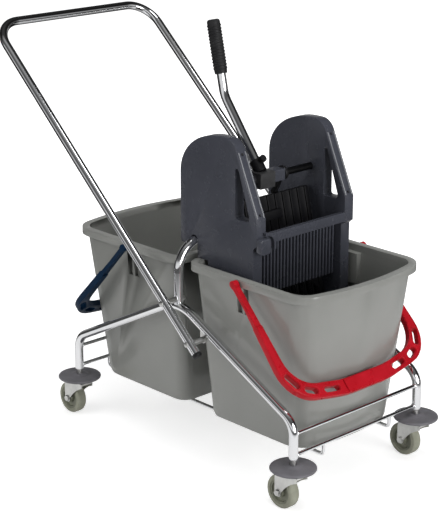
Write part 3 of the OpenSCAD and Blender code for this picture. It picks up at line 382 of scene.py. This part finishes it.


# Lever: a chromed tube with a ribbed black rubber grip, held by a black collar and a knob screw
# in a dark cast hub block, on a steel shaft coloured near black, with a square sleeve and two cranks.
rubber = finish_of(
    "grip_rubber", [(0.010, 0.010, 0.011), (0.019, 0.019, 0.020)], (0.45, 0.62), 40.0, 900.0, 0.20,
    gloss=0.25)
dress(["lever_tube"], chrome)
dress(["lever_grip"], rubber)
dress(["lever_collar", "lever_screw"], black)
hub_grey = finish_of(
    "hub_cast", [(0.026, 0.026, 0.027), (0.040, 0.040, 0.041)], (0.30, 0.44), 40.0, 700.0, 0.15)
dress(["lever_hub"], hub_grey, edge=0.0020)
dress(["shaft_sleeve"], slate, edge=0.0020)
dress(["push_cranks"], black, edge=0.0012)
# The shaft is given a near-black metal colour.
shaft_dark = finish_of(
    "near_black_steel", [(0.020, 0.020, 0.021), (0.034, 0.034, 0.035)], (0.32, 0.46), 40.0, 400.0, 0.05,
    metallic=1.0)
dress(["lever_shaft"], shaft_dark)


# Floor, light and camera: a white floor in a white room. Chrome mirrors a darker room than the one
# behind the object: bright at the front right, with a dark band half way up, over a sheet of floor
# that fades out. The camera stands at the front right, as the photograph's did.
floor_size = 14.0
to_front_right = (0.70, -0.71, 0.0)
bpy.ops.object.select_all(action="DESELECT")
bpy.ops.mesh.primitive_plane_add(size=floor_size, location=(0.0, 0.0, 0.0))
floor = bpy.context.object
floor.name = "floor"
white = bpy.data.materials.new("floor_white")
white.use_nodes = True
white.node_tree.nodes.remove(white.node_tree.nodes["Principled BSDF"])


def blend(material, factor, first, second, **settings):
    """The mix of two colours, each input being a socket or a plain value."""
    made = add(material, "ShaderNodeMix", data_type="RGBA", **settings)
    colours = [socket for socket in made.inputs if socket.type == "RGBA"]
    for value, into in zip((factor, first, second), (made.inputs["Factor"], *colours)):
        if isinstance(value, bpy.types.NodeSocket):
            material.node_tree.links.new(value, into)
        else:
            into.default_value = value
    return [socket for socket in made.outputs if socket.type == "RGBA"][0]


def product(material, start, out, other, other_out):
    """Two values multiplied."""
    made = add(material, "ShaderNodeMath", operation="MULTIPLY")
    link(material, start, out, made, 0)
    link(material, other, other_out, made, 1)
    return made


def grey_ramp(material, start, out, stops):
    """A value turned into greys at the given stops."""
    made = add(material, "ShaderNodeValToRGB")
    for stop, (share, tone) in zip(made.color_ramp.elements, (stops[0], stops[-1])):
        stop.position = share
        stop.color = (tone, tone, tone, 1)
    for share, tone in stops[1:-1]:
        made.color_ramp.elements.new(share).color = (tone, tone, tone, 1)
    link(material, start, out, made, "Fac")
    return made


def frontness(material, start, out):
    """How far a place or a direction lies towards the front right."""
    made = add(material, "ShaderNodeVectorMath", operation="DOT_PRODUCT")
    made.inputs[1].default_value = to_front_right
    link(material, start, out, made, 0)
    return made


floor_ray = add(white, "ShaderNodeLightPath")
floor_point = add(white, "ShaderNodeTexCoord")
away_from_middle = add(white, "ShaderNodeVectorMath", operation="LENGTH")
link(white, floor_point, "Object", away_from_middle, "Vector")
floor_front = frontness(white, floor_point, "Object")
whitening = spread(white, away_from_middle, "Value", (0.7, 2.6), (0.62, 1.0))
seen_glow = product(white, floor_ray, "Is Camera Ray", whitening, "Result")
sheet_edge = spread(white, away_from_middle, "Value", (1.0, 1.6), (1.0, 0.10))
sheet_glow = spread(white, floor_front, "Value", (-1.2, -0.3), (0.0, 0.22))
sheet_glow = product(white, sheet_glow, "Result", sheet_edge, "Result")
mirrored_glow = product(white, floor_ray, "Is Glossy Ray", sheet_glow, "Value")
glow_level = add(white, "ShaderNodeMath", operation="ADD")
link(white, seen_glow, "Value", glow_level, 0)
link(white, mirrored_glow, "Value", glow_level, 1)
sheet_tone = spread(white, floor_front, "Value", (-0.9, -0.1), (0.04, 0.8))
sheet_tone = product(white, sheet_tone, "Result", sheet_edge, "Result")
floor_tone = blend(
    white, floor_ray.outputs["Is Glossy Ray"], (0.8, 0.8, 0.8, 1), sheet_tone.outputs["Value"])
matt = add(white, "ShaderNodeBsdfDiffuse")
white.node_tree.links.new(floor_tone, matt.inputs["Color"])
glow = add(white, "ShaderNodeEmission", Color=(1, 1, 1, 1))
link(white, glow_level, "Value", glow, "Strength")
both = add(white, "ShaderNodeAddShader")
link(white, matt, "BSDF", both, 0)
link(white, glow, "Emission", both, 1)
link(white, both, "Shader", white.node_tree.nodes["Material Output"], "Surface")
floor.data.materials.append(white)

sky = bpy.data.worlds.new("studio")
bpy.context.scene.world = sky
sky.use_nodes = True
look = add(sky, "ShaderNodeTexCoord")
height = add(sky, "ShaderNodeSeparateXYZ")
link(sky, look, "Generated", height, "Vector")
bands = grey_ramp(sky, height, "Z", [
    (0.0, 0.85), (0.20, 0.80), (0.34, 0.13), (0.60, 0.09), (0.80, 0.20), (0.93, 0.42), (1.0, 0.55)])
turned = spread(sky, frontness(sky, look, "Generated"), "Value", (-1.0, 1.0), (0.0, 1.0))
lit_side = grey_ramp(sky, turned, "Result", [
    (0.0, 0.55), (0.10, 0.45), (0.18, 0.10), (0.50, 0.09), (0.62, 0.75), (0.80, 1.0), (1.0, 1.0)])
sky_ray = add(sky, "ShaderNodeLightPath")
mirrored_room = blend(sky, 1.0, bands.outputs["Color"], lit_side.outputs["Color"], blend_type="MULTIPLY")
room = blend(sky, sky_ray.outputs["Is Glossy Ray"], (0.20, 0.20, 0.20, 1), mirrored_room)
room = blend(sky, sky_ray.outputs["Is Camera Ray"], room, (1, 1, 1, 1))
sky.node_tree.links.new(room, sky.node_tree.nodes["Background"].inputs["Color"])


aim = Vector((0.1, 0.0, 0.45))


def softbox(name, place, size, power, mirrored=True):
    """A round soft lamp aimed at the trolley's middle; unmirrored ones don't show in the chrome."""
    lamp = bpy.data.lights.new(name, "AREA")
    lamp.shape = "DISK"
    lamp.size = size
    lamp.energy = power
    box = bpy.data.objects.new(name, lamp)
    bpy.context.scene.collection.objects.link(box)
    box.visible_glossy = mirrored
    box.location = place
    box.rotation_euler = (aim - Vector(place)).to_track_quat("-Z", "Y").to_euler()


softbox("right_light", (-1.4, -3.1, 1.6), 3.2, 56.0, mirrored=False)
softbox("front_light", (3.5, -0.2, 1.1), 2.0, 70.0)
softbox("top_light", (0.9, -0.3, 3.8), 2.4, 47.0, mirrored=False)
softbox("line_light", (0.95, 0.3, 3.4), 0.9, 11.0)
softbox("back_light", (-2.6, 2.6, 2.2), 3.0, 30.0, mirrored=False)

view_azimuth = radians(46.636)
view_elevation = radians(17.268)
lens = bpy.data.cameras.new("camera")
camera = bpy.data.objects.new("camera", lens)
bpy.context.scene.collection.objects.link(camera)
away = Vector((
    sin(view_azimuth) * cos(view_elevation),
    -cos(view_azimuth) * cos(view_elevation),
    sin(view_elevation),
))
camera.location = (2.587, -2.429, 1.5416)
camera.rotation_euler = (-away).to_track_quat("-Z", "Y").to_euler()
lens.sensor_width = 36.0
lens.lens = 113.64
lens.shift_x = 0.0051
lens.shift_y = -0.0258
lens.clip_start = 0.05
lens.clip_end = 50.0
bpy.context.scene.camera = camera
bpy.context.scene.view_settings.view_transform = "Standard"
